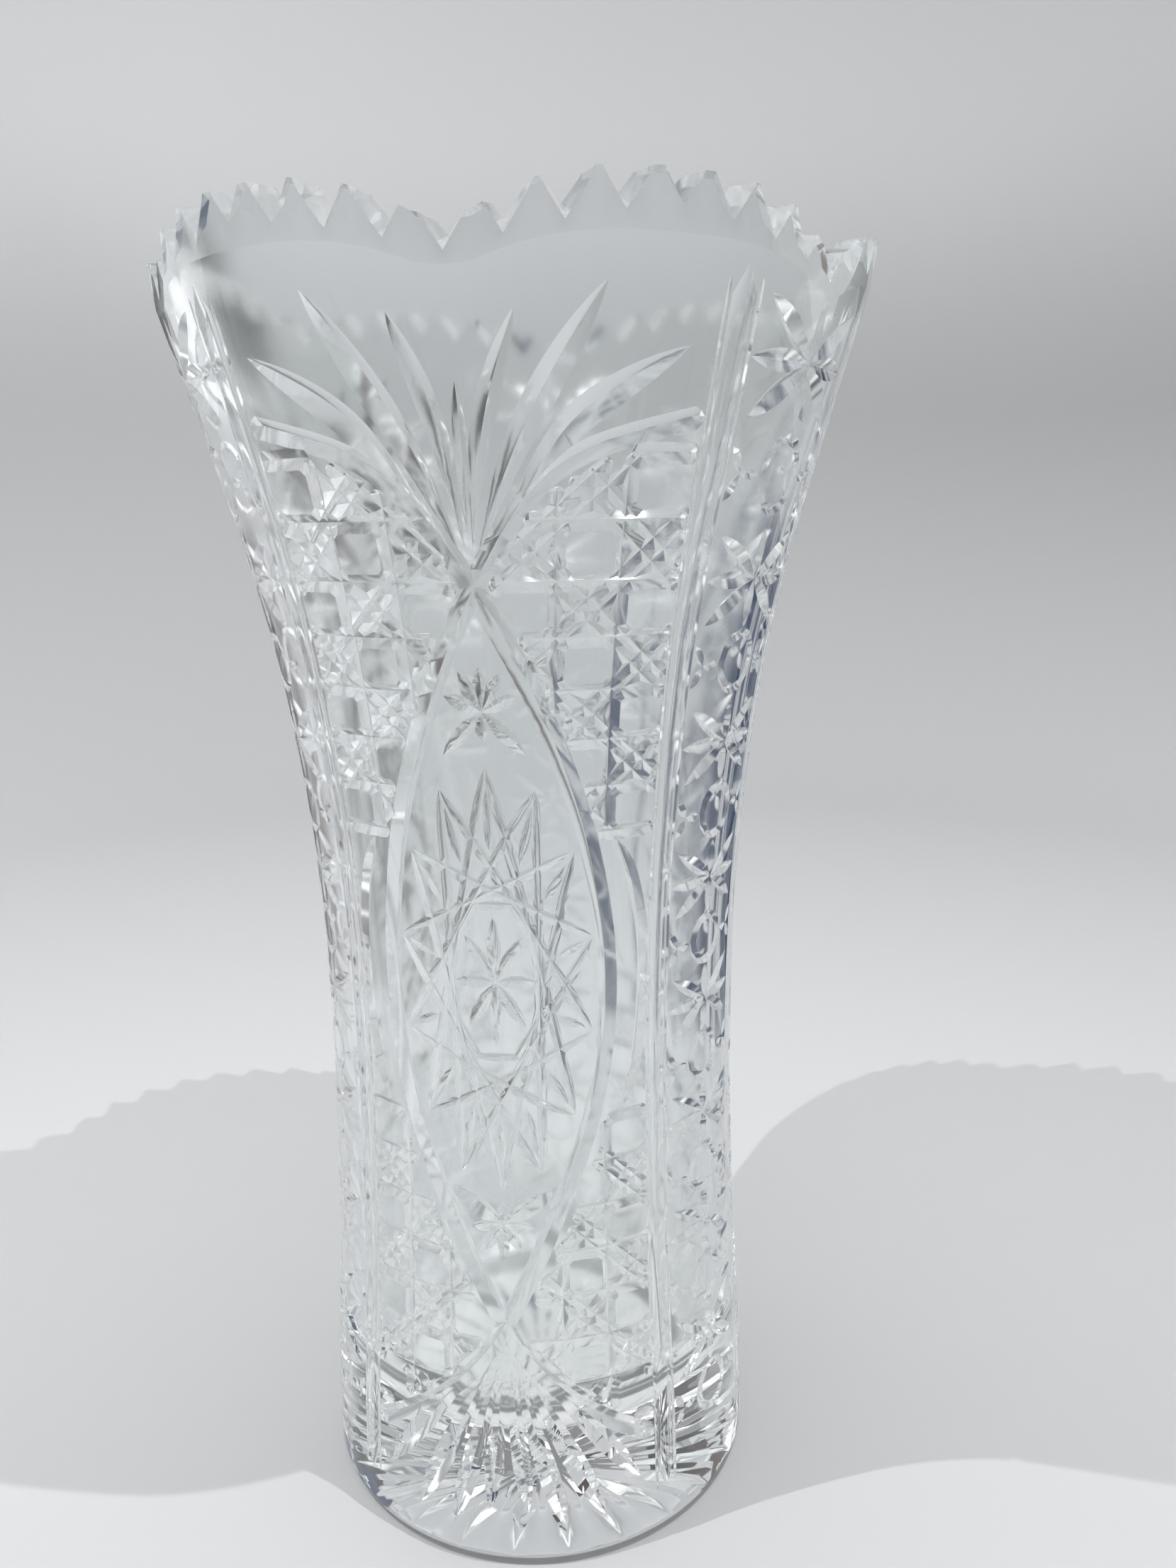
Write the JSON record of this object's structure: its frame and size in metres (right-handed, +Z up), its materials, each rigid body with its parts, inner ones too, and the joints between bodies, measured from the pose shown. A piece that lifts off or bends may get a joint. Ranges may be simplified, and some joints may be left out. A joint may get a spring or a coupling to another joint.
{
  "type": "cut crystal vase",
  "caption": "Tall waisted vase of clear cut crystal with a flared, scalloped, toothed rim, upright ribs and pointed oval panels.",
  "frame": {"origin": "centre of the flat face under the base, on the vase's axis", "axes": "+Z up along the vase's axis; -Y through the middle of one of the three wide panels"},
  "size_m": [0.1638, 0.1596, 0.305],
  "materials": {
    "crystal": "polished clear lead crystal, ground flat under the foot"
  },
  "bodies": {
    "root": {"vase_body": "crystal"}
  },
  "joints": []
}
